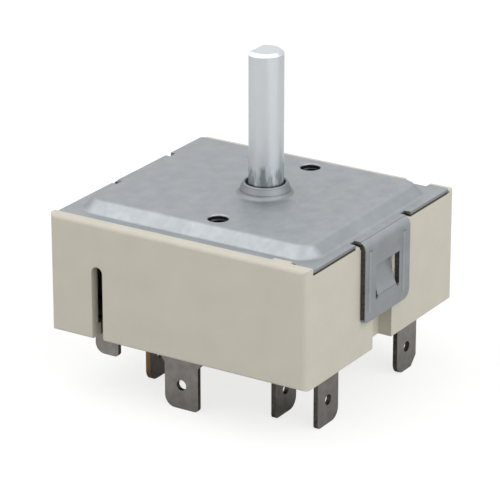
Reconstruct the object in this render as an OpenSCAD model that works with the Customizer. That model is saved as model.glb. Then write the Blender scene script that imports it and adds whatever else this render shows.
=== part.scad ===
// Cooktop energy regulator: a box-shaped infinite-heat switch with a D-shaft.
// The origin is on the shaft axis, on the raised mounting face of the cover plate.
// +Z runs out along the shaft, +X along the long side, away from the longer end of the body.

/* [Housing] */
// Length of the moulded body along X
body_l = 48; // [46:0.5:52]
// Width of the moulded body along Y
body_w = 46.4; // [45:0.2:50]
// Depth from the mounting face to the underside of the body
body_depth = 21.3; // [20.5:0.1:24]
// How far the middle of the body lies from the shaft axis, towards -X
body_shift = 2.1; // [1.5:0.1:2.6]
// Thickness of the side walls
wall = 1.7; // [1.4:0.1:1.8]
// Thickness of the floor
floor_t = 2; // [1.6:0.1:2.4]
// Radius of the upright corners
corner_r = 1; // [0.6:0.1:1.6]
// Rounding along the top of the front wall
rim_r = 0.75; // [0.4:0.05:0.9]
// Height of the front wall above the top of the plate's flange
rim_rise = 0.4; // [0.2:0.1:0.8]
// Depth of the back wall's top below the top of the flange
back_drop = 0.4; // [0.2:0.1:0.6]
// Width of the upright groove that each clip hooks into
groove_w = 6; // [5.8:0.1:7]
// Depth of that groove
groove_d = 2.4; // [2.2:0.1:2.8]
// Width of the inspection slot in the front wall
slot_w = 2.1; // [1.6:0.1:2.6]
// Height of that slot above the underside
slot_h = 12.5; // [8:0.5:13]

/* [Cover plate] */
// Sheet thickness
sheet = 0.8; // [0.7:0.05:0.9]
// Rise of the mounting face above the flange
plateau_rise = 1.8; // [1.5:0.1:2]
// Width of the flange strip beyond the foot of the slope, at the ends
flange_end = 1.8; // [1.4:0.1:2.2]
// Width of the flange strip beyond the foot of the slope, along the long sides
flange_side = 2.4; // [2:0.1:3]
// Run of the slope between flange and mounting face
slope_run = 2; // [1.6:0.1:2.4]
// Plan radius of the corners of the mounting face
plateau_r = 1.6; // [1:0.1:2.4]
// Spacing of the two fixing threads
fix_spacing = 28; // [27:0.5:29]
// Radius of the fixing threads at the core
fix_r = 1.65; // [1.5:0.05:1.7]
// Rounding at the mouth of each fixing thread
fix_round = 0.3; // [0.2:0.05:0.5]
// Depth of the drawn collar behind each fixing thread
fix_collar = 2.2; // [1.8:0.1:2.6]
// Width of each clip
clip_w = 14.2; // [13:0.2:15]
// Offset of the -X clip from the shaft, towards +Y
clip_offset = 3.2; // [0:0.1:4]
// Width of the relief cut beside each clip
relief_w = 1.6; // [0.8:0.1:2]
// Depth of the clip's lower edge below the mounting face
clip_depth = 15.5; // [15:0.1:16.5]
// Outer radius of the bend between flange and clip
clip_bend = 1.5; // [1.2:0.1:1.8]
// Width of the window in each clip
window_w = 7.4; // [7:0.1:8]
// Width of the slits beside the tongue
slit_w = 0.8; // [0.6:0.05:0.9]
// Lean of the tongue into the groove
tongue_lean = 17; // [14:0.5:19]
// Height of the drawn collar round the shaft
collar_h = 1.9; // [1.2:0.1:2.2]

/* [Shaft and cam] */
// Diameter of the shaft
shaft_d = 6; // [5.9:0.05:6.1]
// Size across the flat
flat_across = 4.6; // [4.4:0.05:4.8]
// Length of the shaft above the mounting face
shaft_out = 23.9; // [18:0.5:30]
// Diameter of the lower journal
journal_d = 5; // [4.6:0.1:5.2]
// Radius of the switching cam
switch_r = 11; // [10.6:0.05:11.2]
// Depth of the off notch in the switching cam
notch_d = 1.2; // [0.8:0.1:1.6]
// Radius of the detent disc
detent_r = 9.4; // [9:0.1:9.8]
// Turn of the shaft from off to full
turn = 320; // [280:5:320]
// Swing of the lever over the whole turn
lever_swing = 9.6; // [6:0.2:10]

/* [Springs and blades] */
// Thickness of the terminal blades
blade_t = 0.8; // [0.7:0.05:0.9]
// Width of the push-on tabs
tab_w = 6.3; // [6:0.05:6.5]
// Length of the tabs below their shoulders
tab_l = 7.6; // [7.2:0.1:8.6]
// How far the tabs reach below the body
tab_reach = 10.7; // [10:0.1:12]
// Extra width of a blade above its shoulders, on each side
shoulder = 0.6; // [0.4:0.1:1]
// Hole in each tab
tab_hole_d = 1.8; // [1.4:0.1:2]
// Distance from the tip of a tab to its hole
tab_hole_up = 4.1; // [3.6:0.1:4.4]
// Width of the short lug at the inspection slot
lug_w = 4.4; // [4.2:0.1:4.8]
// How far that lug reaches below the body
lug_reach = 3.4; // [3:0.1:5]
// Thickness of the contact springs
leaf_t = 0.3; // [0.2:0.05:0.4]
// Thickness of the bimetal strips
bimetal_t = 0.6; // [0.5:0.05:0.7]
// Diameter of the contact heads
contact_d = 3; // [2.6:0.1:3.2]
// Diameter of the rivets
rivet_d = 1.6; // [1.4:0.1:1.8]
// Clearance round a blade in the floor
blade_gap = 0.1; // [0.05:0.05:0.15]
// Clearance between a cam and what rides on it
ride_gap = 0.15; // [0.1:0.05:0.25]
// Radial clearance of a turning fit
run_gap = 0.05; // [0.03:0.01:0.08]
// Clearance between pieces that are laid together
lay_gap = 0.05; // [0.03:0.01:0.08]

/* [Hidden] */
$fn = 48;

// Ends of the body and levels, all measured from the shaft axis and the mounting face.
body_x0 = -body_l / 2 - body_shift;
body_x1 = body_l / 2 - body_shift;
body_y = body_w / 2;
flange_top = -plateau_rise;
flange_low = flange_top - sheet;
rim_top = flange_top + rim_rise;
body_low = -body_depth;
floor_top = body_low + floor_t;
inner_x0 = body_x0 + wall;
inner_x1 = body_x1 - wall;
inner_y = body_y - wall;
shaft_r = shaft_d / 2;
flat_x = shaft_r - flat_across;
eps = 0.01;

// Levels of the cam's tracks.
thrust_top = -1.4;
thrust_low = -2.6;
spiral_z = [-6.2, -3.6];
switch_z = [-10.6, -6.8];
stop_z = [-12.4, -11];
detent_z = [-14.8, -12.8];
cam_low = -15;
boss_top = cam_low - 0.1;
journal_low = floor_top - 0.6;

// Places of the inner pieces.
lever_at = [-13.6, 8];
nose_r = 0.8;
spiral_r0 = 8;
lever_z = [-5.9, -3.9];
leaf_z = [-10.4, -7];
bimetal_z = [-10.4, -4];
carrier_x = -19.4;
carrier_t = 0.4;
comp_x = carrier_x + (carrier_t + bimetal_t) / 2;
work_x = carrier_x - (carrier_t + bimetal_t) / 2;
stack_y = [12.6, 17.2];
heater_y = [-4, 8];
snap_x = -17.4;
blade_top = -6.6;

// Places of the terminals: outer face of the blade, and middle of its width.
signal_at = [-17, -inner_y + 0.8];
left_at = [-14.3, -9.3];
front_at = [-4.15, -18.6];
inner_at = [10.7, -10.9];
right_front_at = [18.5, -10.9];
right_back_at = [18.5, 14.3];
tip_z = body_low - tab_reach;
shoulder_z = tip_z + tab_l;

// Unit vector from a to b, and the vector that lies to the left of d.
function dir(a, b) = (b - a) / norm(b - a);
function left(d) = [-d[1], d[0]];

// One side of a strip of thickness t that follows the points p.
function strip_side(p, t, s) = [
    for (i = [0 : len(p) - 1])
        let (d0 = i == 0 ? dir(p[0], p[1]) : dir(p[i - 1], p[i]),
             d1 = i == len(p) - 1 ? d0 : dir(p[i], p[i + 1]),
             n0 = left(d0),
             n1 = left(d1))
        p[i] + (n0 + n1) / (1 + n0 * n1) * t / 2 * s
];

function reversed(p) = [for (i = [len(p) - 1 : -1 : 0]) p[i]];

// Points along an arc about c.
function arc(c, r, a0, a1, n) = [
    for (i = [0 : n]) let (a = a0 + (a1 - a0) * i / n) c + r * [cos(a), sin(a)]
];

// An upright strip that stands on edge between two levels.
module strip(p, t, z) {
    translate([0, 0, z[0]])
        linear_extrude(z[1] - z[0])
            polygon(concat(strip_side(p, t, 1), reversed(strip_side(p, t, -1))));
}

// A block between two corners.
module block(a, b) {
    translate(a) cube(b - a);
}

// A rectangle with rounded corners, centred.
module round_rect(l, w, r) {
    square([l - 2 * r, w], center = true);
    square([l, w - 2 * r], center = true);
    for (x = [-1, 1], y = [-1, 1])
        translate([x * (l / 2 - r), y * (w / 2 - r)]) circle(r);
}

// A cylinder between two points on a line along X.
module rod_x(x0, x1, y, z, r) {
    translate([x0, y, z]) rotate([0, 90, 0]) cylinder(h = x1 - x0, r = r);
}

// A cylinder between two points on a line along Y.
module rod_y(y0, y1, x, z, r) {
    translate([x, y0, z]) rotate([-90, 0, 0]) cylinder(h = y1 - y0, r = r);
}

// The section of the shaft: a circle with one flat that faces -X.
module d_section(gap) {
    intersection() {
        circle(shaft_r + gap);
        translate([flat_x - gap, -shaft_r * 2]) square(shaft_r * 4);
    }
}

// Outline of a blade in its own plane: u across, v up, with its tab below the shoulders.
module blade_outline(u_mid, root_u, top_v, side, cut) {
    neck = shoulder_z + shoulder;
    difference() {
        union() {
            translate([u_mid, 0]) scale([side, 1]) tab_outline(cut);
            polygon([[u_mid - tab_w / 2, shoulder_z - eps],
                     [u_mid + tab_w / 2, shoulder_z - eps],
                     [u_mid + tab_w / 2 + shoulder, neck],
                     [u_mid - tab_w / 2 - shoulder, neck]]);
            translate([u_mid - tab_w / 2 - shoulder, neck - eps])
                square([tab_w + 2 * shoulder, floor_top - neck + 2 * eps]);
            translate([root_u[0], floor_top])
                square([root_u[1] - root_u[0], top_v - floor_top]);
        }
        translate([u_mid, tip_z + tab_hole_up]) circle(tab_hole_d / 2);
    }
}

// The tab itself: one corner is broad, the other is small or cut off at 45 degrees.
broad_r = 1.9;
small_r = 0.7;
cut_l = 1.6;

module tab_outline(cut) {
    half = tab_w / 2;
    far = cut ? cut_l : small_r;
    translate([-half + broad_r, tip_z + broad_r]) circle(broad_r);
    polygon([[-half, tip_z + broad_r], [-half + broad_r, tip_z], [half - far, tip_z],
             [half, tip_z + far], [half, shoulder_z], [-half, shoulder_z]]);
    if (!cut) translate([half - small_r, tip_z + small_r]) circle(small_r);
}

// A blade that lies across X: its outer face is at x, its width runs along Y.
module blade_x(at, root_u, top_v, side, cut) {
    translate([at[0] - blade_t, 0, 0])
        rotate([90, 0, 90])
            linear_extrude(blade_t) blade_outline(at[1], root_u, top_v, side, cut);
}

// A blade that lies across Y: its outer face is at y, its width runs along X.
module blade_y(at, root_u, top_v, side, cut) {
    translate([0, at[1] + blade_t, 0])
        rotate([90, 0, 0])
            linear_extrude(blade_t) blade_outline(at[0], root_u, top_v, side, cut);
}

// The slot that a blade across X needs in the floor.
module floor_slot_x(at) {
    half = tab_w / 2 + shoulder + blade_gap;
    block([at[0] - blade_t - blade_gap, at[1] - half, body_low - 1],
          [at[0] + blade_gap, at[1] + half, floor_top + 1]);
}

// The slot that a blade across Y needs in the floor.
module floor_slot_y(at, half) {
    block([at[0] - half, at[1] - blade_gap, body_low - 1],
          [at[0] + half, at[1] + blade_t + blade_gap, floor_top + 1]);
}

// Plan of the plate, and of the foot of its pressed face.
plate_l = body_l - 0.1;
plate_w = 2 * inner_y - 0.2;
foot_l = plate_l - 2 * flange_end;
foot_w = plate_w - 2 * flange_side;

// Radii of the pressed crest and foot, and what they add to the run of the slope.
crest_r = 1.2;
foot_r = 0.8;
press_ease = 0.6;
press_run = slope_run + press_ease;

// Flat part of the mounting face, inside its rounded crest.
flat_l = foot_l - 2 * press_run + press_ease;
flat_w = foot_w - 2 * press_run + press_ease;

// Half of the pressed section: crest, slope and foot, as distance outwards and height.
function crest_profile() = [
    for (a = [0 : 7.5 : 45]) [crest_r * sin(a), crest_r * (cos(a) - 1)]
];
function foot_profile() = [
    for (a = [45 : -7.5 : 0])
        [press_run - foot_r * sin(a), foot_r * (1 - cos(a)) - plateau_rise]
];
function half_section(drop, inset, low, half) = [
    for (q = concat(crest_profile(), foot_profile(), [[press_run, low + drop]]))
        [half + q[0] - inset, q[1] - drop]
];
function mirrored(p) = [for (i = [len(p) - 1 : -1 : 0]) [-p[i][0], p[i][1]]];
function full_section(drop, inset, low, half) =
    concat(half_section(drop, inset, low, half), mirrored(half_section(drop, inset, low, half)));

// The pressed mounting face as two crossing prisms and four turned corners.
module pressed_form(drop, inset, low) {
    r = plateau_r;
    translate([-body_shift, 0, 0]) {
        translate([0, flat_w / 2 - r, 0])
            rotate([90, 0, 0])
                linear_extrude(flat_w - 2 * r)
                    polygon(full_section(drop, inset, low, flat_l / 2));
        rotate([90, 0, 90])
            translate([0, 0, -flat_l / 2 + r])
                linear_extrude(flat_l - 2 * r)
                    polygon(full_section(drop, inset, low, flat_w / 2));
        for (x = [-1, 1], y = [-1, 1])
            translate([x * (flat_l / 2 - r), y * (flat_w / 2 - r), 0])
                rotate_extrude()
                    polygon(concat([[0, -drop]], half_section(drop, inset, low, r), [[0, low]]));
    }
}

// The thread collar drawn inwards from the mounting face, and its flared mouth.
module fix_collar_tube(y) {
    translate([0, y, -fix_collar - sheet / 2]) cylinder(h = fix_collar, r = fix_r + 0.65);
}

module fix_bore(y) {
    translate([0, y, 0]) {
        translate([0, 0, -fix_collar - sheet]) cylinder(h = fix_collar + sheet + 1, r = fix_r);
        rotate_extrude()
            difference() {
                translate([0, -fix_round]) square([fix_r + fix_round, fix_round + 0.1]);
                translate([fix_r + fix_round, -fix_round]) circle(fix_round);
            }
    }
}

// The collar drawn outwards round the shaft: a foot fillet, a steep side and a rounded lip.
module shaft_collar() {
    bore = shaft_r + 0.25;
    lip = shaft_r + 0.75;
    side = shaft_r + 1.1;
    fillet = 0.8;
    rotate_extrude()
        polygon(concat(
            [[bore, -sheet], [side + fillet, -sheet], [side + fillet, -eps]],
            arc([side + fillet, fillet], fillet, -90, -180, 6),
            arc([lip - 0.3, collar_h - 0.3], 0.3, 0, 90, 4),
            arc([bore + 0.2, collar_h - 0.2], 0.2, 90, 180, 3)));
}

// One clip on the +X end: bend, leg with its window, tongue and two pressed ribs.
module clip() {
    out = body_x1 + lay_gap + sheet;
    cx = out - clip_bend;
    cz = flange_top - clip_bend;
    // Flange strip from the plate's edge to the bend.
    block([inner_x1, -clip_w / 2, flange_low], [cx, clip_w / 2, flange_top]);
    translate([0, clip_w / 2, 0])
        rotate([90, 0, 0])
            linear_extrude(clip_w)
                intersection() {
                    difference() {
                        translate([cx, cz]) circle(clip_bend);
                        translate([cx, cz]) circle(clip_bend - sheet);
                    }
                    translate([cx, cz]) square(clip_bend + 1);
                }
    difference() {
        translate([out - sheet, 0, 0])
            rotate([90, 0, 90]) linear_extrude(sheet) clip_leg(cz);
        translate([out - sheet - 1, 0, 0])
            rotate([90, 0, 90]) linear_extrude(sheet + 2) clip_window();
    }
    tongue(out);
    for (y = [-1, 1])
        intersection() {
            translate([out - 0.35, y * (clip_w / 2 - 1.75), -clip_depth + 1.6])
                cylinder(h = clip_depth - 1.6 + cz - 0.4, r = 0.6);
            block([out - sheet, -clip_w, -clip_depth], [out + 1, clip_w, 0]);
        }
}

module clip_leg(top) {
    small = 0.9;
    broad = 1.6;
    half = clip_w / 2;
    translate([-half, -clip_depth + broad]) square([clip_w, top + clip_depth - broad]);
    translate([-half + small, -clip_depth]) square([clip_w - small - broad, broad + eps]);
    translate([-half, -clip_depth + small]) square([small + eps, broad]);
    translate([-half + small, -clip_depth + small]) circle(small);
    translate([half - broad, -clip_depth + broad]) circle(broad);
}

window_top = -6.6;
window_low = -clip_depth + 3.1;

module clip_window() {
    half = window_w / 2;
    r = slit_w / 2;
    translate([-half, window_low + r]) square([window_w, window_top - window_low - r]);
    for (s = [-1, 1]) translate([s * (half - r), window_low + r]) circle(r);
}

tongue_w = window_w - 2 * slit_w;
tongue_l = 5.2;

module tongue(out) {
    hinge = window_low + slit_w / 2 - 0.3;
    translate([out, -tongue_w / 2, hinge])
        rotate([0, -tongue_lean, 0])
            translate([-sheet, 0, 0]) cube([sheet, tongue_w, tongue_l]);
    block([out - sheet, -tongue_w / 2, window_low - 0.3],
          [out, tongue_w / 2, hinge + 0.12]);
}

// Height at which the tongue ends, where the housing's ledge catches it.
tongue_top = window_low + slit_w / 2 - 0.3 + tongue_l * cos(tongue_lean);

// Puts what is drawn for the +X end at both ends, with the offset of the -X clip.
module both_ends() {
    translate([-body_shift, 0, 0]) {
        children();
        rotate([0, 0, 180]) translate([0, -clip_offset, 0]) children();
    }
}

module cover_plate() color([0.66, 0.68, 0.69]) {
    difference() {
        union() {
            translate([-body_shift, 0, flange_low])
                linear_extrude(sheet) round_rect(plate_l, plate_w, 0.6);
            pressed_form(0, 0, flange_low + 0.1);
            for (y = [-1, 1]) fix_collar_tube(y * fix_spacing / 2);
        }
        difference() {
            pressed_form(sheet - 2 * eps, sheet * 0.41, flange_low - 1);
            for (y = [-1, 1]) fix_collar_tube(y * fix_spacing / 2);
        }
        for (y = [-1, 1]) fix_bore(y * fix_spacing / 2);
        translate([0, 0, -sheet - 1]) cylinder(h = 4, r = shaft_r + 0.9);
        // Reliefs beside the clips.
        both_ends()
            for (y = [-1, 1])
                translate([plate_l / 2 - 1.1, y * (clip_w + relief_w) / 2 - relief_w / 2, -4])
                    cube([3, relief_w, 4]);
        // Notches for the locating nibs.
        for (s = [0, 1])
            mirror([0, s, 0])
                translate([nib_x - nib_w / 2 - 0.3, -plate_w / 2 - 1, -4])
                    cube([nib_w + 0.8, 1 + nib_d + 0.15, 4]);
    }
    shaft_collar();
    both_ends() translate([body_shift, 0, 0]) clip();
}

// Locating nibs of the housing. The back one ends below the flange, and the wall has a gap there.
nib_x = 16.1;
nib_w = 3.2;
nib_d = 0.9;

// Outline of the body seen along X.
edge_r = 0.4;

module body_section() {
    w = body_w;
    translate([-w / 2, body_low + edge_r]) square([w, flange_low - body_low - edge_r]);
    translate([-w / 2 + edge_r, body_low]) square([w - 2 * edge_r, 1]);
    for (s = [-1, 1]) translate([s * (w / 2 - edge_r), body_low + edge_r]) circle(edge_r);
    wall_cap(rim_top, rim_r);
    mirror([1, 0]) wall_cap(flange_top - back_drop, edge_r - 0.05);
}

// Top of one long wall, rounded on the outside. The wall here lies at -Y.
module wall_cap(top, r) {
    low = flange_low - 1;
    y = -body_w / 2;
    translate([y, low]) square([wall, top - r - low]);
    translate([y + r, low]) square([wall - r, top - low]);
    translate([y + r, top - r]) circle(r);
}

// The shell with its cavity, before slots, grooves and inner posts.
module body_shell() {
    difference() {
        intersection() {
            translate([-body_shift, 0, body_low])
                linear_extrude(body_depth) round_rect(body_l, body_w, corner_r);
            translate([body_x0 - 1, 0, 0])
                rotate([90, 0, 90]) linear_extrude(body_l + 2) body_section();
        }
        block([inner_x0, -inner_y, floor_top], [inner_x1, inner_y, 1]);
        block([body_x0 - 1, -inner_y, flange_low], [body_x1 + 1, inner_y, 1]);
    }
}

// The groove and its backing for a clip at the +X end, measured from the middle of the body.
ledge_z = tongue_top + 0.1;

module groove_backing() {
    half = groove_w / 2 + wall;
    block([body_l / 2 - groove_d - wall, -half, body_low + 0.5],
          [body_l / 2 - wall + eps, half, ledge_z + wall]);
}

module groove_cut() {
    block([body_l / 2 - groove_d, -groove_w / 2, body_low - 1],
          [body_l / 2 + 1, groove_w / 2, ledge_z]);
    // Room for the bend of the clip over the wall.
    translate([body_l / 2, 0, flange_low])
        rotate([0, 45, 0]) cube([0.9, clip_w + 0.6, 0.9], center = true);
}

// Stop post, lever boss, bearing boss and the posts that hold the springs.
post_r = [10.7, 12.6];
post_a = 250;

module inner_posts() {
    translate([0, 0, floor_top - eps]) {
        cylinder(h = boss_top - floor_top + eps, r = journal_d / 2 + 2.4);
        translate([lever_at[0], lever_at[1], 0])
            cylinder(h = lever_z[0] - 0.3 - floor_top + eps, r = 2.6);
        linear_extrude(stop_z[1] - floor_top)
            polygon(concat(arc([0, 0], post_r[0], post_a - 12, post_a + 12, 6),
                           arc([0, 0], post_r[1], post_a + 12, post_a - 12, 6)));
    }
    difference() {
        for (s = [-1, 1])
            block([s * 10 - 1.5, 13, floor_top - eps], [s * 10 + 1.5, 15.6, detent_z[0] + 1.6]);
        strip(detent_path(), 0.4 + 2 * lay_gap, [detent_z[0] - 1.6, 0]);
    }
    difference() {
        block([-18.3, 17.9, floor_top - eps], [-13.2, 20.3, bimetal_z[0] + 3]);
        strip(carrier_path(), carrier_t + 2 * lay_gap, [bimetal_z[0], 0]);
    }
}

module housing() color([0.75, 0.73, 0.68])
    difference() {
        union() {
            body_shell();
            both_ends() groove_backing();
            translate([nib_x - nib_w / 2, -inner_y - eps, flange_low - 1.6])
                cube([nib_w, nib_d + eps, 1.6 + sheet + rim_rise - 0.05]);
            translate([nib_x - nib_w / 2, inner_y - nib_d, flange_low - 1.6])
                cube([nib_w, nib_d + eps, 1.5]);
            inner_posts();
        }
        both_ends() groove_cut();
        // Gap in the top of the back wall behind its nib.
        block([nib_x - nib_w / 2 - 1.6, inner_y - 0.5, flange_low - 0.5],
              [nib_x + nib_w / 2, body_y + 1, 0]);
        // Inspection slot in the front wall, open at the bottom.
        block([signal_at[0] - slot_w / 2, -body_y - 1, body_low - 1],
              [signal_at[0] + slot_w / 2, signal_at[1], body_low + slot_h - slot_w / 2]);
        rod_y(-body_y - 1, signal_at[1], signal_at[0],
              body_low + slot_h - slot_w / 2, slot_w / 2);
        // Floor slots for the terminals.
        floor_slot_x(left_at);
        floor_slot_x(inner_at);
        floor_slot_x(right_front_at);
        floor_slot_x(right_back_at);
        floor_slot_y(front_at, tab_w / 2 + shoulder + blade_gap);
        floor_slot_y(signal_at, lug_w / 2 + blade_gap);
        // Bearing of the shaft and seat of the lever pin.
        translate([0, 0, journal_low - 0.2])
            cylinder(h = boss_top - journal_low + 1, r = journal_d / 2 + run_gap);
        translate([lever_at[0], lever_at[1], pin_low])
            cylinder(h = 20, r = pin_r);
    }

module shaft() color([0.78, 0.8, 0.82]) {
    chamfer = 0.5;
    intersection() {
        translate([0, 0, thrust_low - eps])
            linear_extrude(shaft_out - thrust_low + eps) d_section(0);
        union() {
            translate([0, 0, thrust_low - 1])
                cylinder(h = shaft_out - chamfer - thrust_low + 1, r = shaft_r + 1);
            translate([0, 0, shaft_out - chamfer])
                cylinder(h = chamfer, r1 = shaft_r, r2 = shaft_r - chamfer);
        }
    }
    translate([0, 0, thrust_low]) cylinder(h = thrust_top - thrust_low, r = shaft_r + 1.5);
    translate([0, 0, cam_low - 2 * eps]) linear_extrude(thrust_low - cam_low + 3 * eps) d_section(0);
    translate([0, 0, journal_low]) cylinder(h = cam_low - journal_low - eps, r = journal_d / 2);
}

module spring_washer() color([0.55, 0.56, 0.58])
    rotate_extrude()
        polygon([[shaft_r + 0.2, -sheet - 0.3], [shaft_r + 0.2, -sheet - 0.08],
                 [shaft_r + 1.5, -sheet - 0.32], [shaft_r + 1.5, -sheet - 0.54]]);

// Centre of the lever's nose when the lever has swung by a, and the spiral that drives it.
function turned(v, a) = [v[0] * cos(a) - v[1] * sin(a), v[0] * sin(a) + v[1] * cos(a)];
nose_at = [-(spiral_r0 + ride_gap + nose_r), 0];
function nose_when(a) = lever_at + turned(nose_at - lever_at, a);
spiral_steps = 64;

// Outline of the spiral: while the shaft turns by -p the lever swings by -lever_swing * p / turn.
function spiral_point(p) =
    let (n = nose_when(-lever_swing * p / turn),
         r = norm(n) - nose_r - ride_gap,
         a = atan2(n[1], n[0]) + p)
    r * [cos(a), sin(a)];
function spiral() = [for (i = [0 : spiral_steps]) spiral_point(turn * i / spiral_steps)];

// A lobed disc with a notch where each switch spring stands at off.
module switch_track() {
    difference() {
        circle(switch_r, $fn = 96);
        for (a = [0, switch_front_a])
            rotate(a) translate([switch_r + 2.6 - notch_d, 0]) circle(2.6);
    }
}

// A disc with a shallow notch for the detent at off and at full.
module detent_track() {
    difference() {
        circle(detent_r, $fn = 96);
        for (a = [90, 90 + turn])
            rotate(a) translate([detent_r + 0.5, 0]) circle(1.2);
    }
}

module control_cam() color([0.36, 0.27, 0.2])
    difference() {
        union() {
            translate([0, 0, cam_low]) cylinder(h = thrust_low - lay_gap - cam_low, r = 6.4);
            translate([0, 0, spiral_z[0]])
                linear_extrude(spiral_z[1] - spiral_z[0]) polygon(spiral());
            translate([0, 0, switch_z[0]])
                linear_extrude(switch_z[1] - switch_z[0]) switch_track();
            translate([0, 0, stop_z[0]])
                linear_extrude(stop_z[1] - stop_z[0]) {
                    circle(8.6);
                    polygon(concat([[0, 0]], arc([0, 0], 11.6, post_a - 27, post_a - 13, 4)));
                }
            translate([0, 0, detent_z[0]])
                linear_extrude(detent_z[1] - detent_z[0]) detent_track();
        }
        translate([0, 0, cam_low - 1])
            linear_extrude(-cam_low + 2) d_section(lay_gap);
        // Moulding pockets in the hub, open at the top.
        for (a = [60, 150, 240, 330])
            rotate(a) translate([4.9, 0, -9]) cylinder(h = 10, r = 0.8);
    }

pin_r = 1.2;
pin_low = lever_z[0] - 7;

module lever_pin() color([0.7, 0.71, 0.72])
    translate([lever_at[0], lever_at[1], 0]) {
        translate([0, 0, pin_low]) cylinder(h = lever_z[1] + 0.15 - pin_low, r = pin_r);
        translate([0, 0, lever_z[1] + 0.1]) cylinder(h = 0.6, r = 2.1);
    }

// The lever's screw lug reaches past the compensating bimetal's free end.
screw_y = 14.6;
screw_z = -6;
screw_r = 0.9;
lug_x = comp_x + bimetal_t / 2 + 1.6;
lug_t = 2.2;
head_x = lug_x + lug_t + 0.4;
head_t = 0.9;

module regulating_lever() color([0.62, 0.63, 0.6])
    difference() {
        union() {
            translate([0, 0, lever_z[0]])
                linear_extrude(lever_z[1] - lever_z[0]) {
                    translate(lever_at) circle(3);
                    translate(nose_at) circle(nose_r);
                    polygon([lever_at + [-1.5, -1.6], nose_at + [-0.6, 0.1],
                             nose_at + [0.5, 0.3], lever_at + [2, -1],
                             lever_at + [1, 1.4]]);
                    polygon([lever_at + [-2.4, 0.6], lever_at + [2, 1.2],
                             [lug_x + lug_t, screw_y - 1.5], [lug_x + lug_t, screw_y + 1.5],
                             [lug_x, screw_y + 1.5], [lug_x, screw_y - 1.5]]);
                }
            block([lug_x, screw_y - 1.5, screw_z - 1.6],
                  [lug_x + lug_t, screw_y + 1.5, lever_z[1]]);
        }
        translate([lever_at[0], lever_at[1], -20]) cylinder(h = 20, r = pin_r + run_gap);
        rod_x(lug_x - 1, lug_x + 4, screw_y, screw_z, screw_r + lay_gap);
    }

module calibration_screw() color([0.76, 0.66, 0.38])
    difference() {
        union() {
            rod_x(comp_x + bimetal_t / 2 + ride_gap, head_x, screw_y, screw_z, screw_r);
            rod_x(head_x, head_x + head_t, screw_y, screw_z, screw_r + 0.5);
        }
        block([head_x + head_t / 2, screw_y - 2, screw_z - 0.15],
              [head_x + head_t + 1, screw_y + 2, screw_z + 0.15]);
    }

// The carrier leaves its slotted post along X and turns down the side of the body.
function carrier_path() = concat(
    [[-13.6, 19.1]],
    arc([carrier_x + 1.2, 17.9], 1.2, 90, 180, 4),
    [[carrier_x, stack_y[0] - 1.4]]
);

module bimetal_carrier() color([0.7, 0.7, 0.68])
    difference() {
        strip(carrier_path(), carrier_t, bimetal_z);
        stack_holes();
    }

module compensating_bimetal() color([0.6, 0.56, 0.46])
    difference() {
        strip([[comp_x, stack_y[1]], [comp_x, 10.6]], bimetal_t, bimetal_z);
        stack_holes();
    }

module working_bimetal() color([0.64, 0.58, 0.48])
    difference() {
        strip([[work_x, stack_y[1]], [work_x, -10]], bimetal_t, bimetal_z);
        stack_holes();
        rod_x(work_x - 2, work_x + 2, button_y, button_z, rivet_d / 2 + lay_gap);
    }

rivet_z = [-8.9, -8.9];

module stack_holes() {
    for (y = rivet_places)
        rod_x(carrier_x - 3, carrier_x + 3, y, rivet_z[0], rivet_d / 2);
}

rivet_places = [12.9, 16.3];

module bimetal_rivets() color([0.72, 0.68, 0.58])
    for (y = rivet_places) {
        rod_x(work_x - bimetal_t / 2 - 0.6, comp_x + bimetal_t / 2 + 0.6, y, rivet_z[0],
              rivet_d / 2);
        rod_x(work_x - bimetal_t / 2 - 0.6, work_x - bimetal_t / 2, y, rivet_z[0], rivet_d * 0.8);
        rod_x(comp_x + bimetal_t / 2, comp_x + bimetal_t / 2 + 0.6, y, rivet_z[0],
              rivet_d * 0.8);
    }

// A flat mica and ceramic former slides over the working bimetal and carries the winding.
core_t = 0.35;
core_out = [bimetal_t / 2 + lay_gap + core_t, core_t + lay_gap];

module heater_tube(grow, y) {
    block([work_x - core_out[0] - grow, y[0], bimetal_z[0] - core_out[1] - grow],
          [work_x + core_out[0] + grow, y[1], bimetal_z[1] + core_out[1] + grow]);
}

module heater_core() color([0.86, 0.84, 0.78])
    difference() {
        heater_tube(0, heater_y);
        block([work_x - bimetal_t / 2 - lay_gap, heater_y[0] - 1, bimetal_z[0] - lay_gap],
              [work_x + bimetal_t / 2 + lay_gap, heater_y[1] + 1, bimetal_z[1] + lay_gap]);
    }

turns = 14;

module heater_winding() color([0.45, 0.42, 0.4])
    difference() {
        union() {
            heater_tube(0.15, [heater_y[0] + 0.8, heater_y[1] - 0.8]);
            for (i = [0 : turns - 1]) {
                y = heater_y[0] + 1 + i * (heater_y[1] - heater_y[0] - 2) / turns;
                heater_tube(0.45, [y, y + 0.42]);
            }
        }
        heater_tube(lay_gap / 2, [heater_y[0] - 1, heater_y[1] + 1]);
    }

button_y = -8.2;
button_z = -8.9;

module push_button() color([0.9, 0.89, 0.85]) {
    rod_x(work_x - bimetal_t / 2 - 0.5, snap_x - leaf_t / 2 - ride_gap, button_y, button_z,
          rivet_d / 2);
    rod_x(work_x + bimetal_t / 2, snap_x - leaf_t / 2 - ride_gap - 0.2, button_y, button_z, 1.3);
}

// The riser that carries the snap spring stands on the signal lug's floor strip.
riser_x = snap_x - leaf_t / 2 - blade_t;
riser_y = [-18.6, -13.6];
snap_contact_y = -1.6;

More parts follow.
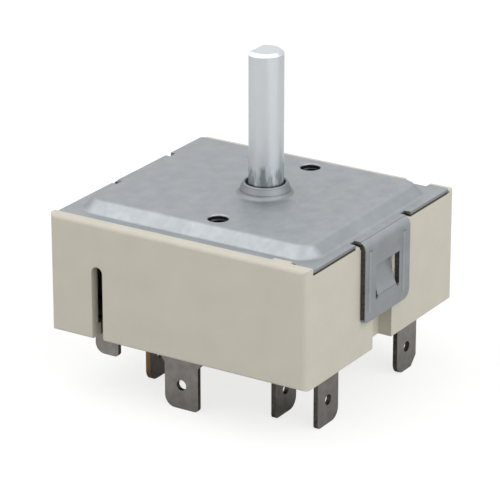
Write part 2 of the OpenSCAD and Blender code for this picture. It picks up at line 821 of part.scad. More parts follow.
module snap_spring() color([0.8, 0.66, 0.42])
    difference() {
        strip([[snap_x, riser_y[0]], [snap_x, 1]], leaf_t, leaf_z);
        rod_x(snap_x - 2, snap_x + 2, snap_contact_y, -8.7, rivet_d / 2);
        rod_x(snap_x - 2, snap_x + 2, -16.1, -8.7, rivet_d / 2);
        // The window that lets the middle tongue snap over.
        block([snap_x - 1, -6.6, -9.5], [snap_x + 1, -4, -7.9]);
    }

// The fixed contact stands on the left terminal's inner plate, which faces the snap spring.
left_face = left_at[0] - blade_t;
snap_meet = (snap_x + leaf_t / 2 + left_face) / 2;

module snap_contact_moving() color([0.86, 0.86, 0.84]) {
    rod_x(snap_x - leaf_t / 2 - 0.5, snap_meet - 0.1, snap_contact_y, -8.7, rivet_d / 2);
    rod_x(snap_x + leaf_t / 2, snap_meet - 0.1, snap_contact_y, -8.7, contact_d / 2);
    rod_x(snap_x - leaf_t / 2 - 0.5, snap_x - leaf_t / 2, snap_contact_y, -8.7, rivet_d * 0.75);
}

module snap_contact_fixed() color([0.86, 0.86, 0.84]) {
    rod_x(snap_meet + 0.1, left_at[0] + 0.5, snap_contact_y, -8.7, rivet_d / 2);
    rod_x(snap_meet + 0.1, left_face, snap_contact_y, -8.7, contact_d / 2);
    rod_x(left_at[0], left_at[0] + 0.5, snap_contact_y, -8.7, rivet_d * 0.75);
}

// Switch springs: each leaves its blade, dips to the cam as a nose, and ends at its contact.
switch_front_a = 278;
right_leaf_x = right_back_at[0] - blade_t - leaf_t / 2;
contact_leaf_x = right_leaf_x - 1.7;
nose_x = switch_r + ride_gap + leaf_t / 2;

module switch_spring_right() color([0.8, 0.66, 0.42])
    difference() {
        strip(right_path(), leaf_t, leaf_z);
        rod_x(right_leaf_x - 2, right_leaf_x + 2, right_back_at[1], -8.7, rivet_d / 2);
        rod_x(contact_leaf_x - 1, contact_leaf_x + 1, right_front_at[1], -8.7, rivet_d / 2);
    }

// From the back to the front: the nose's arc runs from its upper to its lower end.
function right_path() = concat(
    [[right_leaf_x, right_back_at[1] + 3.4], [right_leaf_x, right_back_at[1] - 3.6],
     [contact_leaf_x, 7.2]],
    arc([nose_x + 1.2, 0], 1.2, 140, 220, 6),
    [[contact_leaf_x, -5.2], [contact_leaf_x, right_front_at[1] - 2]]
);

front_leaf_y = front_at[1] + blade_t + leaf_t / 2;
front_contact_y = front_leaf_y + 2.6;
front_contact_x = 6.6;
front_nose = nose_x * [cos(switch_front_a), sin(switch_front_a)];

function front_path() = concat(
    [[front_at[0] - 3.2, front_leaf_y], [front_at[0] + 1.6, front_leaf_y]],
    arc(front_nose * ((nose_x + 1.2) / nose_x), 1.2, switch_front_a + 220, switch_front_a + 140, 6),
    [[4.6, front_contact_y], [front_contact_x + 1.8, front_contact_y]]
);

module switch_spring_front() color([0.8, 0.66, 0.42])
    difference() {
        strip(front_path(), leaf_t, leaf_z);
        rod_y(front_leaf_y - 1, front_leaf_y + 1, front_at[0] - 1, -8.7, rivet_d / 2);
        rod_y(front_contact_y - 1, front_contact_y + 1, front_contact_x, -8.7, rivet_d / 2);
    }

module switch_contacts_moving() color([0.86, 0.86, 0.84]) {
    meet = (contact_leaf_x + leaf_t / 2 + right_front_at[0] - blade_t) / 2;
    rod_x(contact_leaf_x - leaf_t / 2 - 0.5, meet - 0.1, right_front_at[1], -8.7, rivet_d / 2);
    rod_x(contact_leaf_x + leaf_t / 2, meet - 0.1, right_front_at[1], -8.7, contact_d / 2);
    rod_x(contact_leaf_x - leaf_t / 2 - 0.5, contact_leaf_x - leaf_t / 2, right_front_at[1], -8.7,
          rivet_d * 0.75);
    rod_y(front_meet + 0.1, front_contact_y + leaf_t / 2 + 0.5, front_contact_x, -8.7,
          rivet_d / 2);
    rod_y(front_meet + 0.1, front_contact_y - leaf_t / 2, front_contact_x, -8.7, contact_d / 2);
    rod_y(front_contact_y + leaf_t / 2, front_contact_y + leaf_t / 2 + 0.5, front_contact_x, -8.7,
          rivet_d * 0.75);
}

// The inner terminal's plate turns a corner to reach under the front spring.
inner_arm_y = -17.4;
front_meet = (inner_arm_y + blade_t / 2 + front_contact_y - leaf_t / 2) / 2;

module switch_contacts_fixed() color([0.86, 0.86, 0.84]) {
    face = right_front_at[0] - blade_t;
    meet = (contact_leaf_x + leaf_t / 2 + face) / 2;
    rod_x(meet + 0.1, right_front_at[0] + 0.5, right_front_at[1], -8.7, rivet_d / 2);
    rod_x(meet + 0.1, face, right_front_at[1], -8.7, contact_d / 2);
    rod_x(right_front_at[0], right_front_at[0] + 0.5, right_front_at[1], -8.7, rivet_d * 0.75);
    rod_y(inner_arm_y - blade_t / 2 - 0.5, front_meet - 0.1, front_contact_x, -8.7, rivet_d / 2);
    rod_y(inner_arm_y + blade_t / 2, front_meet - 0.1, front_contact_x, -8.7, contact_d / 2);
    rod_y(inner_arm_y - blade_t / 2 - 0.5, inner_arm_y - blade_t / 2, front_contact_x, -8.7,
          rivet_d * 0.75);
}

// Rivets that fix the three contact springs to their blades.
module spring_rivets() color([0.72, 0.68, 0.58]) {
    rod_x(right_leaf_x - leaf_t / 2 - 0.5, right_back_at[0] + 0.5, right_back_at[1], -8.7,
          rivet_d / 2);
    rod_x(right_leaf_x - leaf_t / 2 - 0.5, right_leaf_x - leaf_t / 2, right_back_at[1], -8.7,
          rivet_d * 0.75);
    rod_x(right_back_at[0], right_back_at[0] + 0.5, right_back_at[1], -8.7, rivet_d * 0.75);
    rod_y(front_at[1] - 0.5, front_leaf_y + leaf_t / 2 + 0.5, front_at[0] - 1, -8.7, rivet_d / 2);
    rod_y(front_at[1] - 0.5, front_at[1], front_at[0] - 1, -8.7, rivet_d * 0.75);
    rod_y(front_leaf_y + leaf_t / 2, front_leaf_y + leaf_t / 2 + 0.5, front_at[0] - 1, -8.7,
          rivet_d * 0.75);
    rod_x(riser_x - 0.5, snap_x + leaf_t / 2 + 0.5, -16.1, -8.7, rivet_d / 2);
    rod_x(riser_x - 0.5, riser_x, -16.1, -8.7, rivet_d * 0.75);
    rod_x(snap_x + leaf_t / 2, snap_x + leaf_t / 2 + 0.5, -16.1, -8.7, rivet_d * 0.75);
}

// The detent spring is bowed, with its ends held in two slotted posts.
detent_nose_y = detent_r + ride_gap + 0.2;

function detent_path() = concat(
    [[-11, 14.3], [-8.6, 14.3]],
    arc([0, detent_nose_y + 1.2], 1.2, 220, 320, 6),
    [[8.6, 14.3], [11, 14.3]]
);

module detent_spring() color([0.6, 0.61, 0.63])
    strip(detent_path(), 0.4, [detent_z[0] - 1.6, detent_z[1] - 0.1]);

// The short signal lug turns onto the floor and ends in the riser of the snap spring.
module terminal_signal() color([0.6, 0.59, 0.57])
    difference() {
        union() {
            translate([0, signal_at[1] + blade_t, 0])
                rotate([90, 0, 0])
                    linear_extrude(blade_t)
                        translate([signal_at[0], 0]) lug_outline();
            block([riser_x, signal_at[1], floor_top + lay_gap],
                  [signal_at[0] + lug_w / 2, signal_at[1] + 2, floor_top + lay_gap + blade_t]);
            block([riser_x, signal_at[1], floor_top + lay_gap],
                  [riser_x + blade_t, riser_y[1], floor_top + lay_gap + blade_t]);
            block([riser_x, riser_y[0], floor_top + lay_gap],
                  [riser_x + blade_t, riser_y[1], blade_top]);
        }
        rod_x(riser_x - 2, riser_x + 2, -16.1, -8.7, rivet_d / 2);
    }

module lug_outline() {
    low = body_low - lug_reach;
    top = floor_top + lay_gap + blade_t;
    half = lug_w / 2;
    translate([-half + 1.7, low + 1.7]) circle(1.7);
    translate([half - 0.7, low + 0.7]) circle(0.7);
    translate([-half, low + 1.7]) square([lug_w, top - low - 1.7]);
    translate([-half + 1.7, low]) square([lug_w - 2.4, 1.8]);
    translate([half - 0.71, low + 0.7]) square([0.71, 2]);
}

module terminal_left() color([0.6, 0.59, 0.57])
    difference() {
        blade_x(left_at, [left_at[1] - tab_w / 2, 1], blade_top, 1, true);
        rod_x(left_at[0] - 2, left_at[0] + 2, snap_contact_y, -8.7, rivet_d / 2);
    }

module terminal_front() color([0.6, 0.59, 0.57])
    difference() {
        blade_y(front_at, [front_at[0] - tab_w / 2, front_at[0] + tab_w / 2], blade_top, 1, false);
        rod_y(front_at[1] - 2, front_at[1] + 2, front_at[0] - 1, -8.7, rivet_d / 2);
    }

module terminal_inner() color([0.6, 0.59, 0.57])
    difference() {
        union() {
            blade_x(inner_at, [inner_at[1] - tab_w / 2, inner_at[1] + tab_w / 2], blade_top, -1, false);
            strip([[inner_at[0] - blade_t / 2, inner_at[1]],
                   [inner_at[0] - blade_t / 2, inner_arm_y], [front_contact_x - 2, inner_arm_y]],
                  blade_t, [-12, blade_top]);
        }
        rod_y(inner_arm_y - 2, inner_arm_y + 2, front_contact_x, -8.7, rivet_d / 2);
    }

module terminal_right_front() color([0.6, 0.59, 0.57])
    difference() {
        blade_x(right_front_at, [right_front_at[1] - tab_w / 2, right_front_at[1] + tab_w / 2],
                blade_top, -1, false);
        rod_x(right_front_at[0] - 2, right_front_at[0] + 2, right_front_at[1], -8.7, rivet_d / 2);
    }

module terminal_right_back() color([0.6, 0.59, 0.57])
    difference() {
        blade_x(right_back_at, [right_back_at[1] - tab_w / 2, right_back_at[1] + tab_w / 2],
                blade_top, 1, true);
        rod_x(right_back_at[0] - 2, right_back_at[0] + 2, right_back_at[1], -8.7, rivet_d / 2);
    }

housing();
cover_plate();
shaft();
spring_washer();
control_cam();
regulating_lever();
lever_pin();
calibration_screw();
bimetal_carrier();
compensating_bimetal();
working_bimetal();
bimetal_rivets();
heater_core();
heater_winding();
push_button();
snap_spring();
snap_contact_moving();
snap_contact_fixed();
switch_spring_right();
switch_spring_front();
switch_contacts_moving();
switch_contacts_fixed();
spring_rivets();
detent_spring();
terminal_signal();
terminal_left();
terminal_front();
terminal_inner();
terminal_right_front();
terminal_right_back();
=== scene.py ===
"""Cooktop energy regulator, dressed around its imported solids.

The file follows the switch as it is put together: the moulded body, the pressed cover with
its threads, the shaft, the parts inside the body, the blades, and then the table, the lamps
and the camera. Lengths are in metres, apart from the places on the cover and the blades that
are named as millimetres.
"""

import bpy
import numpy as np
from mathutils import Matrix, Vector


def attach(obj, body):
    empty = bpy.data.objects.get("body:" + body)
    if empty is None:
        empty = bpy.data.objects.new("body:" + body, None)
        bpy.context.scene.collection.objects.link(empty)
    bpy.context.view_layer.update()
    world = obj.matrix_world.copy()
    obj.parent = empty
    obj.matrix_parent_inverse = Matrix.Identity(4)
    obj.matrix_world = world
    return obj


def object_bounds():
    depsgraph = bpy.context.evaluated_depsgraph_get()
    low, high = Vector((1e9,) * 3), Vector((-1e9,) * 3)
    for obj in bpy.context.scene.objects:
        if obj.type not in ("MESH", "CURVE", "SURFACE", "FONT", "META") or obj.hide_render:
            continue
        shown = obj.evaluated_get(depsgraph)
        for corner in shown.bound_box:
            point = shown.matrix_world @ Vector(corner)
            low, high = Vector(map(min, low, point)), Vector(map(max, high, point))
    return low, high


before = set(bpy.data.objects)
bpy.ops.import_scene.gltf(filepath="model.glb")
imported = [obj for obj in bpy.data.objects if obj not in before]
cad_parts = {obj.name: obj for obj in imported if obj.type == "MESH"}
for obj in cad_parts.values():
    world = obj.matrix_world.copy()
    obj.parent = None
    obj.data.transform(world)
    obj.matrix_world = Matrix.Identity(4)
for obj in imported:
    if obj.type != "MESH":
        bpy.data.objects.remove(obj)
cad_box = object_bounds()

# Housing.
# One compression moulding of beige thermoset, filled with mineral powder. It is dense and
# stone-like, with a fine dull grain and faint patches of tone.
noise_low, noise_high = 0.3, 0.7  # most of a noise factor lies between these


def finish(name, colour, roughness, metallic=0.0, specular=0.5):
    """A new material: one principled shader with its plain numbers set on the sockets."""
    mat = bpy.data.materials.new(name)
    mat.use_nodes = True
    shader = mat.node_tree.nodes["Principled BSDF"]
    shader.inputs["Base Color"].default_value = (*colour, 1)
    shader.inputs["Roughness"].default_value = roughness
    shader.inputs["Metallic"].default_value = metallic
    shader.inputs["Specular IOR Level"].default_value = specular
    return mat


def cloud(mat, size, stretch=(1, 1, 1), detail=3.0):
    """Noise over object coordinates: its lumps are about `size` metres, longer where stretched."""
    nodes, links = mat.node_tree.nodes, mat.node_tree.links
    place, scale = nodes.new("ShaderNodeTexCoord"), nodes.new("ShaderNodeMapping")
    scale.inputs["Scale"].default_value = [1 / (size * s) for s in stretch]
    links.new(place.outputs["Object"], scale.inputs["Vector"])
    noise = nodes.new("ShaderNodeTexNoise")
    noise.inputs["Scale"].default_value = 1.0
    noise.inputs["Detail"].default_value = detail
    links.new(scale.outputs["Vector"], noise.inputs["Vector"])
    return noise.outputs["Fac"]


def toned(mat, factor, stops):
    """Colour from a ramp of (place, colour) stops that the factor runs along."""
    nodes, links = mat.node_tree.nodes, mat.node_tree.links
    ramp = nodes.new("ShaderNodeValToRGB")
    while len(ramp.color_ramp.elements) < len(stops):
        ramp.color_ramp.elements.new(0.5)
    for element, (at, colour) in zip(ramp.color_ramp.elements, stops):
        element.position = at
        element.color = (*colour, 1)
    links.new(factor, ramp.inputs["Fac"])
    links.new(ramp.outputs["Color"], nodes["Principled BSDF"].inputs["Base Color"])


def mottled(mat, factor, dark, light):
    """Colour that runs from dark to light with a noise factor."""
    toned(mat, factor, [(noise_low, dark), (noise_high, light)])


def worn(mat, factor, low, high):
    """Roughness that runs from low to high with a noise factor."""
    nodes, links = mat.node_tree.nodes, mat.node_tree.links
    span = nodes.new("ShaderNodeMapRange")
    span.inputs["From Min"].default_value = noise_low
    span.inputs["From Max"].default_value = noise_high
    span.inputs["To Min"].default_value = low
    span.inputs["To Max"].default_value = high
    links.new(factor, span.inputs["Value"])
    links.new(span.outputs["Result"], nodes["Principled BSDF"].inputs["Roughness"])


def grained(mat, factor, depth, strength=1.0):
    """Relief of the given depth in metres from the factor."""
    nodes, links = mat.node_tree.nodes, mat.node_tree.links
    bump = nodes.new("ShaderNodeBump")
    bump.inputs["Strength"].default_value = strength
    bump.inputs["Distance"].default_value = depth
    links.new(factor, bump.inputs["Height"])
    links.new(bump.outputs["Normal"], nodes["Principled BSDF"].inputs["Normal"])


def dress(node, slot_name, *mats):
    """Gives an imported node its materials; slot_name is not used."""
    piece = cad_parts[node]
    piece.data.materials.clear()
    for mat in mats:
        piece.data.materials.append(mat)
    return piece


moulding = finish("beige_thermoset", (0.5, 0.475, 0.405), 0.5, specular=0.35)
mottled(moulding, cloud(moulding, 0.004, detail=7),
        dark=(0.488, 0.464, 0.394), light=(0.512, 0.487, 0.416))
grained(moulding, cloud(moulding, 0.0002, detail=3), depth=0.000006, strength=0.35)
worn(moulding, cloud(moulding, 0.0012, detail=4), 0.46, 0.56)
dress("housing", "moulded_body", moulding)

# Cover plate.
# One blank of zinc-plated steel sheet, pressed and folded, with a dull bluish plating. The
# clips' cut edges are bare and brownish black, partly their own dark steel and partly painted
# shade. The flange's edge has a painted highlight along its top and painted shade of the joint
# below it, the drawn collar is duller, and the thread bores are painted nearly black as shade.
plating = finish("zinc_plating", (0.29, 0.308, 0.323), 0.5, metallic=1.0)
mottled(plating, cloud(plating, 0.003, detail=6),
        dark=(0.265, 0.283, 0.297), light=(0.308, 0.327, 0.342))
worn(plating, cloud(plating, 0.0009, stretch=(1, 2.5, 1), detail=4), 0.45, 0.55)
grained(plating, cloud(plating, 0.0005, detail=3), depth=0.000003, strength=0.3)
# Near-black edge colour: partly the bare steel's own dark tone, partly painted shade on the edges.
cut_edge_shade = finish("cut_edge_painted_shade", (0.07, 0.06, 0.052), 0.5, metallic=0.8)
mottled(cut_edge_shade, cloud(cut_edge_shade, 0.0006),
        dark=(0.05, 0.042, 0.036), light=(0.1, 0.087, 0.075))


def height(mat, low, high):
    """0 at the height `low` and 1 at `high`, both in metres."""
    nodes, links = mat.node_tree.nodes, mat.node_tree.links
    place, parts = nodes.new("ShaderNodeTexCoord"), nodes.new("ShaderNodeSeparateXYZ")
    links.new(place.outputs["Object"], parts.inputs["Vector"])
    span = nodes.new("ShaderNodeMapRange")
    span.inputs["From Min"].default_value = low
    span.inputs["From Max"].default_value = high
    links.new(parts.outputs["Z"], span.inputs["Value"])
    return span.outputs["Result"]


flange_low, flange_top = -0.0026, -0.0018
# Painted highlight along the top of the flange's edge and painted shade of the joint below it.
flange_light_shade_paint = finish("flange_rim_painted_light_shade", (0.2, 0.2, 0.2), 0.45, metallic=1.0)
toned(flange_light_shade_paint, height(flange_light_shade_paint, flange_low, flange_top), [
    (0.4, (0.055, 0.047, 0.04)), (0.52, (0.25, 0.262, 0.27))])
drawn = finish("drawn_collar", (0.22, 0.235, 0.245), 0.58, metallic=1.0)
# Near-black painted shade for the bore walls inside the fixing holes.
bore_shade_paint = finish("bore_painted_shade", (0.022, 0.022, 0.021), 0.4, metallic=0.6)
cover = dress("cover_plate", "zinc_plate", plating, cut_edge_shade, flange_light_shade_paint, drawn, bore_shade_paint)


def faces(piece):
    """Centres and normals of a mesh's polygons, in millimetres and unit vectors."""
    n = len(piece.data.polygons)
    centres, normals = np.empty(n * 3), np.empty(n * 3)
    piece.data.polygons.foreach_get("center", centres)
    piece.data.polygons.foreach_get("normal", normals)
    return centres.reshape(n, 3) * 1000, normals.reshape(n, 3)


def mark(piece, *choices):
    """The polygons of the first choice take the second material, and so on."""
    given = np.zeros(len(piece.data.polygons), dtype=np.int32)
    for index, chosen in enumerate(choices, start=1):
        given[chosen] = index
    piece.data.polygons.foreach_set("material_index", given)
    piece.data.update()


# Places on the cover in millimetres, from the shaft axis or from the middle of the body.
body_middle_x = -2.1
back_clip_y = 3.2
clip_half = 7.0
clip_leg_from = 24.05
plate_end = 23.96
end_strip_from, side_strip_from = 22.4, 20.2
flange_span = (-2.7, -1.7)
thread_y = 14
thread_mouth_z, bore_reach = -0.25, 1.75
collar_foot_z, collar_reach = 0.02, 4.9

at, facing = faces(cover)
along = at[:, 0] - body_middle_x
from_middle = np.abs(along)
clip_y = np.where(along > 0, 0.0, back_clip_y)
beside_clip = np.abs(at[:, 1] - clip_y) > clip_half
from_shaft = np.hypot(at[:, 0], at[:, 1])
from_thread = np.hypot(at[:, 0], np.abs(at[:, 1]) - thread_y)
upright = np.abs(facing[:, 2]) < 0.2
faces_y = np.abs(facing[:, 1]) > 0.95
in_flange = (at[:, 2] > flange_span[0]) & (at[:, 2] < flange_span[1])
at_side = np.abs(at[:, 1]) > side_strip_from
at_end = (from_middle > end_strip_from) & beside_clip
# Clip edges take the near-black colour (partly painted shade), the flange's edge its painted
# highlight and shade, the collar the duller finish, and the bores their painted shade.
mark(cover,
     (from_middle > clip_leg_from) & faces_y,
     upright & in_flange & (from_middle < plate_end) & (at_side | at_end),
     (from_shaft < collar_reach) & (at[:, 2] > collar_foot_z),
     (from_thread < bore_reach) & (at[:, 2] < thread_mouth_z))


def thread(name, centre_y, top, length, crest, root, pitch, steps_per_turn=24, across=7):
    """Internal screw thread as one grid: u runs along the helix and v across its one ridge.

    The radius falls from the root to the crest and back over one pitch. The height falls with
    u and v alike, one pitch for each turn. The ridge fades in and out at the helix's ends.
    """
    flank_slope, fade_rate = 2.3, 3
    rounds = length / pitch
    u = np.linspace(0, rounds, int(rounds * steps_per_turn) + 1)[:, None]
    v = np.linspace(-0.5, 0.5, across)[None, :]
    radius = root + (crest - root) * np.clip(1 - np.abs(v) * flank_slope, 0, 1)
    fade = np.clip(np.minimum(u, rounds - u) * fade_rate, 0, 1)
    radius = root + (radius - root) * fade
    angle = 2 * np.pi * u + 0 * v
    x = radius * np.cos(angle)
    y = centre_y + radius * np.sin(angle)
    z = top - pitch * (u + v)
    grid = np.stack([x, y, np.minimum(z, top)], axis=-1).reshape(-1, 3)
    n, m = len(u), across
    i = np.arange(n - 1)[:, None] * m + np.arange(m - 1)[None, :]
    quads = np.stack([i, i + 1, i + m + 1, i + m], axis=-1).reshape(-1, 4)
    mesh = bpy.data.meshes.new(name)
    mesh.from_pydata(grid.tolist(), [], quads.tolist())
    mesh.polygons.foreach_set("use_smooth", np.ones(len(quads), dtype=bool))
    piece = bpy.data.objects.new(name, mesh)
    bpy.context.scene.collection.objects.link(piece)
    return piece


# Threads of the two fixing holes.
# M4, formed in the drawn collars behind the mounting face. They are painted nearly black, a
# painted shade inside the holes, with a thin glint on the ridges.
thread_top, thread_length, thread_pitch = -0.00075, 0.0021, 0.0007
crest_radius, root_radius = 0.00146, 0.00166
# Near-black painted shade for the threads inside the holes.
thread_shade_paint = finish("thread_painted_shade", (0.035, 0.035, 0.033), 0.35, metallic=1.0)
for side in (-1, 1):
    screw_thread = thread("fixing_thread_%s" % ("back" if side > 0 else "front"),
                          side * thread_y / 1000, thread_top, thread_length,
                          crest_radius, root_radius, thread_pitch)
    screw_thread.data.materials.append(thread_shade_paint)
    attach(screw_thread, "base")

# Shaft.
# Drawn steel bar with a milled flat, plated bright. Fine draw lines run along it, and its
# colour is painted darker and greyer towards the bottom, near the collar, up to a ragged line.
shaft_dark_below, shaft_light_above = 0.0025, 0.0105
raggedness = 1.4
bar = finish("plated_bar", (0.58, 0.61, 0.625), 0.3, metallic=1.0)
nodes, links = bar.node_tree.nodes, bar.node_tree.links
ragged = nodes.new("ShaderNodeMath")
ragged.operation = "MULTIPLY_ADD"
links.new(cloud(bar, 0.0009, stretch=(1, 1, 3.5), detail=5), ragged.inputs[0])
ragged.inputs[1].default_value = raggedness
links.new(height(bar, shaft_dark_below, shaft_light_above), ragged.inputs[2])
# Darker towards the bottom of the bar, up to a ragged line.
toned(bar, ragged.outputs["Value"], [
    (0.72, (0.29, 0.315, 0.32)), (0.84, (0.46, 0.49, 0.5)), (0.98, (0.59, 0.62, 0.64))])
worn(bar, cloud(bar, 0.0003, stretch=(1, 1, 40)), 0.27, 0.36)
dress("shaft", "plated_shaft", bar)

# Spring washer, lever pin, bimetal carrier and detent spring.
# Small parts of hardened spring steel, left with their grey heat tone.
spring = finish("spring_steel", (0.36, 0.365, 0.375), 0.35, metallic=1.0)
worn(spring, cloud(spring, 0.0006), 0.28, 0.45)
for node in ("spring_washer", "lever_pin", "bimetal_carrier", "detent_spring"):
    dress(node, "spring_steel", spring)

# Control cam.
# One dark brown phenolic moulding with the spiral, switching, stop and detent tracks.
phenolic = finish("cam_phenolic", (0.09, 0.06, 0.04), 0.42, specular=0.45)
mottled(phenolic, cloud(phenolic, 0.0009, detail=5),
        dark=(0.07, 0.047, 0.032), light=(0.12, 0.08, 0.055))
dress("control_cam", "cam_moulding", phenolic)

# Regulating lever.
# A zinc die casting that turns on its pin, dull and slightly pitted.
casting = finish("zinc_casting", (0.5, 0.5, 0.48), 0.5, metallic=1.0)
grained(casting, cloud(casting, 0.0003, detail=4), depth=0.00001, strength=0.5)
dress("regulating_lever", "zinc_lever", casting)

# Calibration screw and rivets.
# Turned and headed brass, dulled a little by handling.
brass = finish("turned_brass", (0.63, 0.47, 0.2), 0.3, metallic=1.0)
worn(brass, cloud(brass, 0.0005), 0.24, 0.42)
for node in ("calibration_screw", "bimetal_rivets", "spring_rivets"):
    dress(node, "brass_screw", brass)

# Bimetal strips.
# Two alloys rolled together. The strips carry the straw tint of their ageing bake.
strip_pair = finish("aged_bimetal", (0.47, 0.4, 0.28), 0.32, metallic=1.0)
mottled(strip_pair, cloud(strip_pair, 0.002),
        dark=(0.44, 0.38, 0.28), light=(0.52, 0.42, 0.26))
for node in ("compensating_bimetal", "working_bimetal"):
    dress(node, "bimetal", strip_pair)

# Heater core and push button.
# Pale steatite, fired and unglazed, with a soft chalky skin.
steatite = finish("pale_steatite", (0.74, 0.71, 0.64), 0.62, specular=0.4)
grained(steatite, cloud(steatite, 0.0002, detail=3), depth=0.000008, strength=0.4)
for node in ("heater_core", "push_button"):
    dress(node, "ceramic_core", steatite)

# Heater winding.
# Resistance ribbon wound round the core, darkened by oxide.
ribbon = finish("oxidised_ribbon", (0.2, 0.18, 0.17), 0.45, metallic=1.0)
dress("heater_winding", "resistance_wire", ribbon)

# Contact springs.
# Thin bronze strip that carries the current to the moving contacts.
bronze = finish("spring_bronze", (0.62, 0.38, 0.2), 0.28, metallic=1.0)
worn(bronze, cloud(bronze, 0.0006, stretch=(1, 3, 1)), 0.22, 0.36)
for node in ("snap_spring", "switch_spring_right", "switch_spring_front"):
    dress(node, "contact_spring", bronze)

# Contacts.
# Silver heads, riveted through the springs and blades, with a faint grey tarnish.
silver = finish("contact_silver", (0.78, 0.77, 0.74), 0.3, metallic=1.0)
for node in ("snap_contact_moving", "snap_contact_fixed",
             "switch_contacts_moving", "switch_contacts_fixed"):
    dress(node, "silver_contact", silver)

# Terminal blades.
# Stamped from strip with a thin dull plating. The faces are grey-brown. The shear-cut edges
# below the body are painted nearly black as shade, and the left blade's a lighter brown as light.
tab_steel = finish("dull_tab_plating", (0.225, 0.211, 0.198), 0.4, metallic=1.0)
mottled(tab_steel, cloud(tab_steel, 0.0014, detail=5),
        dark=(0.195, 0.183, 0.171), light=(0.258, 0.243, 0.227))
worn(tab_steel, cloud(tab_steel, 0.0006, stretch=(1, 1, 3)), 0.3, 0.45)
# A lighter brown for the left blade's edges only: painted light on that blade.
left_edge_light_paint = finish("left_blade_edge_painted_light", (0.2, 0.13, 0.06), 0.45, metallic=0.9)
below_body_z = -21.4  # in millimetres
for node in ("terminal_signal", "terminal_left", "terminal_front", "terminal_inner",
             "terminal_right_front", "terminal_right_back"):
    blade = dress(node, "tab_steel", tab_steel,
                  left_edge_light_paint if node == "terminal_left" else cut_edge_shade)
    at, facing = faces(blade)
    thin_axis = 1 if node in ("terminal_signal", "terminal_front") else 0
    edge = np.abs(facing[:, thin_axis]) < 0.5
    # Edges below the body get the edge colour: painted shade on most blades, painted light on the
    # left one.
    mark(blade, edge & (at[:, 2] < below_body_z))

# Table and backdrop.
# A pale sheet under the tab ends. The camera and the metal see it white, with a soft shadow
# under the switch.


def ray_is(nodes, links, *kinds):
    """1 for a ray of any of the kinds, and 0 for the rest."""
    ray = nodes.new("ShaderNodeLightPath")
    total = ray.outputs[kinds[0]]
    for kind in kinds[1:]:
        larger = nodes.new("ShaderNodeMath")
        larger.operation = "MAXIMUM"
        links.new(total, larger.inputs[0])
        links.new(ray.outputs[kind], larger.inputs[1])
        total = larger.outputs["Value"]
    return total


def lit_white(nodes, links, shade, glow):
    """A matt surface that shows shadows by its share `shade`, raised to white by a plain glow."""
    matt, white = nodes.new("ShaderNodeBsdfDiffuse"), nodes.new("ShaderNodeEmission")
    matt.inputs["Color"].default_value = (shade, shade, shade, 1)
    white.inputs["Strength"].default_value = glow
    both = nodes.new("ShaderNodeAddShader")
    links.new(matt.outputs["BSDF"], both.inputs[0])
    links.new(white.outputs["Emission"], both.inputs[1])
    return both.outputs["Shader"]


def choose(nodes, links, factor, when_0, when_1):
    """The first shader where the factor is 0 and the second where it is 1."""
    mix = nodes.new("ShaderNodeMixShader")
    links.new(factor, mix.inputs["Fac"])
    links.new(when_0, mix.inputs[1])
    links.new(when_1, mix.inputs[2])
    return mix.outputs["Shader"]


floor_gap, reach = 0.00002, 3
floor_z = cad_box[0][2] - floor_gap
sheet_mesh = bpy.data.meshes.new("table")
sheet_mesh.from_pydata([(x, y, floor_z) for x, y in (
    (-reach, -reach), (reach, -reach), (reach, reach), (-reach, reach))], [], [(0, 1, 2, 3)])
table = bpy.data.objects.new("table", sheet_mesh)
bpy.context.scene.collection.objects.link(table)
pale = bpy.data.materials.new("pale_table")
pale.use_nodes = True
nodes, links = pale.node_tree.nodes, pale.node_tree.links
nodes.clear()
out = nodes.new("ShaderNodeOutputMaterial")
plain = lit_white(nodes, links, shade=0.62, glow=0)
mirrored = lit_white(nodes, links, shade=0.68, glow=0.03)
looked_at = lit_white(nodes, links, shade=0.25, glow=0.76)
in_metal = ray_is(nodes, links, "Is Glossy Ray", "Is Transmission Ray")
in_camera = ray_is(nodes, links, "Is Camera Ray")
unseen = choose(nodes, links, in_metal, plain, mirrored)
links.new(choose(nodes, links, in_camera, unseen, looked_at), out.inputs["Surface"])
table.data.materials.append(pale)

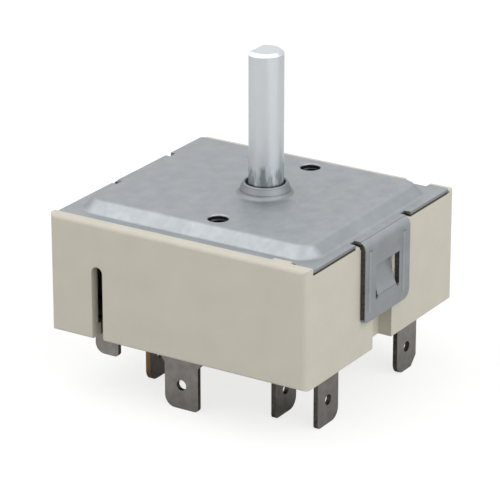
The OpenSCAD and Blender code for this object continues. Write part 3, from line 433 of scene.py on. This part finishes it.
# World.
# White to the camera and in the metal, and an even pale room to the other rays.
world = bpy.data.worlds.new("room")
bpy.context.scene.world = world
world.use_nodes = True
nodes, links = world.node_tree.nodes, world.node_tree.links
nodes.clear()
room = nodes.new("ShaderNodeBackground")
room.inputs["Color"].default_value = (1.0, 0.985, 0.96, 1)
room.inputs["Strength"].default_value = 0.38
backdrop = nodes.new("ShaderNodeBackground")
backdrop.inputs["Color"].default_value = (1, 1, 1, 1)
backdrop.inputs["Strength"].default_value = 1.0
out = nodes.new("ShaderNodeOutputWorld")
seen = ray_is(nodes, links, "Is Camera Ray", "Is Glossy Ray", "Is Transmission Ray")
links.new(choose(nodes, links, seen, room.outputs["Background"], backdrop.outputs["Background"]),
          out.inputs["Surface"])

# Lamps.
# All are large and dim, so that the metal doesn't turn white from any side: one overhead, one
# at the right, a weak one low in front, and one above the front left that the front slope of
# the cover mirrors.


def lamp(name, place, aim, size, power, colour=(1, 1, 1)):
    """A square area lamp at a place, turned towards the aim."""
    light = bpy.data.lights.new(name, "AREA")
    light.size = size
    light.energy = power
    light.color = colour
    body = bpy.data.objects.new(name, light)
    body.location = place
    body.rotation_mode = "QUATERNION"
    body.rotation_quaternion = (Vector(aim) - Vector(place)).to_track_quat("-Z", "Y")
    bpy.context.scene.collection.objects.link(body)


lamp("overhead_box", (-0.05, 0.05, 0.6), (0, 0, 0), size=1.3, power=3.2)
lamp("right_box", (0.55, -0.1, 0.3), (0, 0, -0.01), size=0.8, power=3.3,
     colour=(0.97, 0.985, 1))
lamp("front_fill", (-0.25, -0.6, 0.2), (0, 0, -0.01), size=0.7, power=0.6)
lamp("slope_box", (-0.33, -0.24, 0.5), (0, 0, 0), size=0.8, power=2.1,
     colour=(1, 0.975, 0.99))

# Camera.
# It stands in front, to the right and above, with a long lens. The frame is 500 pixels wide,
# and the shaft axis meets the mounting face at the pixel that is named here.
lens_back = Vector((0.49497, -0.78883, 0.36438))
lens_up = Vector((-0.19368, 0.30868, 0.93125))
lens_right = Vector((0.84704, 0.53153, 0.0))
frame_px, focal_px = 500, 3079.38
shaft_foot_px = (265.25, 191.97)
distance = 0.49365
camera = bpy.data.cameras.new("camera")
camera.sensor_width = 36
camera.lens = focal_px * camera.sensor_width / frame_px
camera.clip_start = 0.05
camera.clip_end = 20
eye = bpy.data.objects.new("camera", camera)
turned = Matrix((lens_right, lens_up, lens_back)).transposed().to_4x4()
across, down = [place - frame_px / 2 for place in shaft_foot_px]
axis_at = (lens_up * down - lens_right * across) * (distance / focal_px)
eye.matrix_world = Matrix.Translation(axis_at + lens_back * distance) @ turned
bpy.context.scene.collection.objects.link(eye)
bpy.context.scene.camera = eye
bpy.context.scene.view_settings.view_transform = "Standard"
